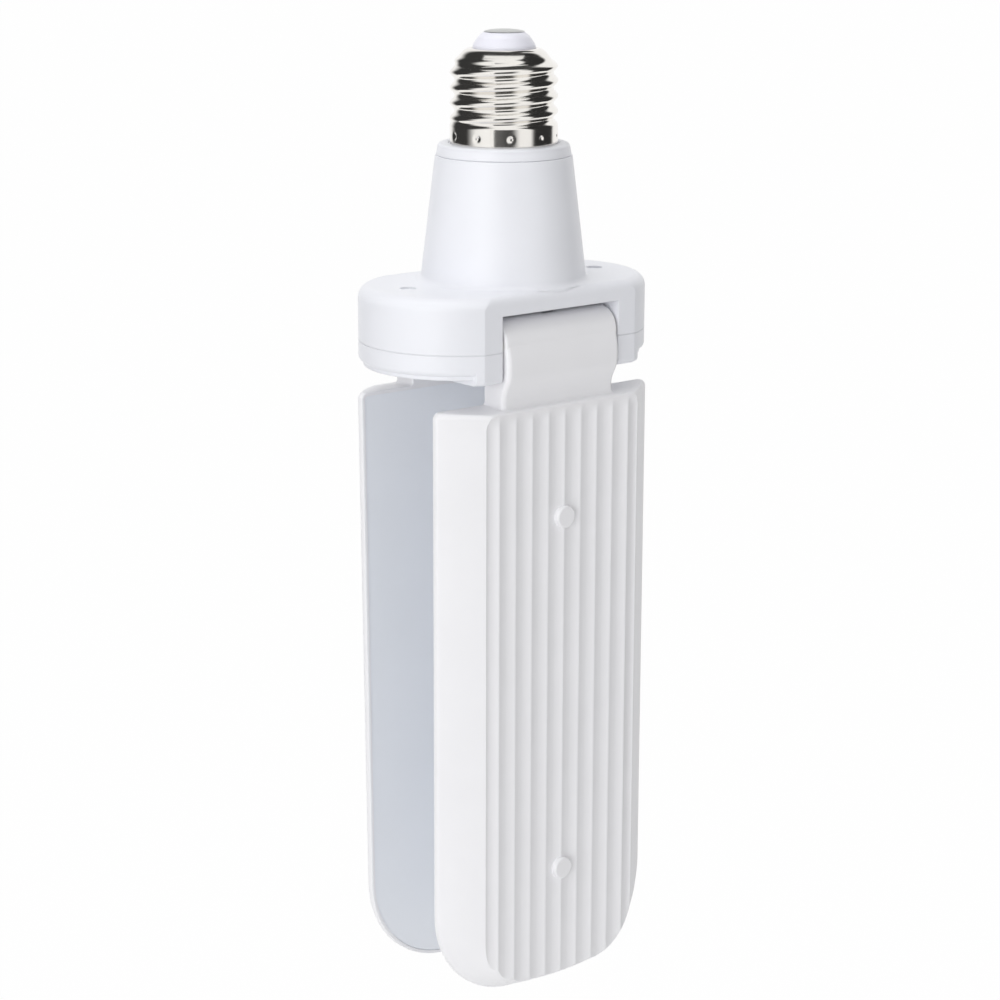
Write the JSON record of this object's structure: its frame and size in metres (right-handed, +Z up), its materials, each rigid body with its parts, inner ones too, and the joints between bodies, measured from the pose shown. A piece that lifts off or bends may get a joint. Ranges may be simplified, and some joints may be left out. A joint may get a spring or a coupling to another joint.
{
  "type": "folding LED ceiling light",
  "caption": "Folding LED garage light: a screw base on a white oval head with hinged, ribbed light leaves that fold down and swing out.",
  "frame": {"origin": "on the lamp's axis, at the lower edge of the screw shell, where the shell meets its collar", "axes": "+Z points up out of the lamp towards the end contact, X runs along the two hinge axes, the front leaf hangs at -Y and the rear leaf at +Y"},
  "size_m": [0.0764, 0.0484, 0.2383],
  "materials": {
    "cap_metal": "bright nickel plate",
    "insulator": "smooth",
    "contact": "dull",
    "white_plastic": "satin",
    "leaf_plastic": "satin",
    "lens": "milky, smooth",
    "steel": "plain",
    "board": "solder mask",
    "light_board": "white coat",
    "chip": "phosphor gel",
    "black_part": "moulded",
    "can": "sleeved can",
    "film": "dipped",
    "resistor": "lacquer",
    "ferrite": "sintered",
    "tape": "polyester tape",
    "copper": "enamelled winding",
    "washer": "hard pale fibre",
    "red_wire": "insulation",
    "blue_wire": "insulation"
  },
  "bodies": {
    "head": {"screw_shell": "cap_metal", "base_insulator": "insulator", "centre_contact": "contact", "base_collar": "white_plastic", "upper_housing": "white_plastic", "lower_cover": "white_plastic", "housing_screws": "steel", "driver_board": "board", "electrolytic_capacitor": "can", "film_capacitor": "film", "bridge_rectifier": "black_part", "fuse_resistor": "resistor", "transformer_core": "ferrite", "transformer_coil": "tape", "choke": "copper", "driver_chip": "black_part", "live_wire": "red_wire", "neutral_wire": "blue_wire", "front_hinge_pins": "steel", "front_friction_washers": "washer", "front_supply_leads": "red_wire", "rear_hinge_pins": "steel", "rear_friction_washers": "washer", "rear_supply_leads": "red_wire"},
    "front_leaf": {"front_leaf_shell": "leaf_plastic", "front_led_board": "light_board", "front_led_chips": "chip", "front_diffuser": "lens", "front_board_screws": "steel", "front_leaf_leads": "red_wire"},
    "rear_leaf": {"rear_leaf_shell": "leaf_plastic", "rear_led_board": "light_board", "rear_led_chips": "chip", "rear_diffuser": "lens", "rear_board_screws": "steel", "rear_leaf_leads": "red_wire"}
  },
  "joints": [
    {"name": "front_leaf_hinge", "type": "hinge", "parent": "head", "child": "front_leaf", "pos_m": [0, -0.0168, -0.04475], "axis": [-1, 0, 0], "range_deg": [0, 90]},
    {"name": "rear_leaf_hinge", "type": "hinge", "parent": "head", "child": "rear_leaf", "pos_m": [0, 0.0168, -0.04475], "axis": [1, 0, 0], "range_deg": [0, 91]}
  ]
}
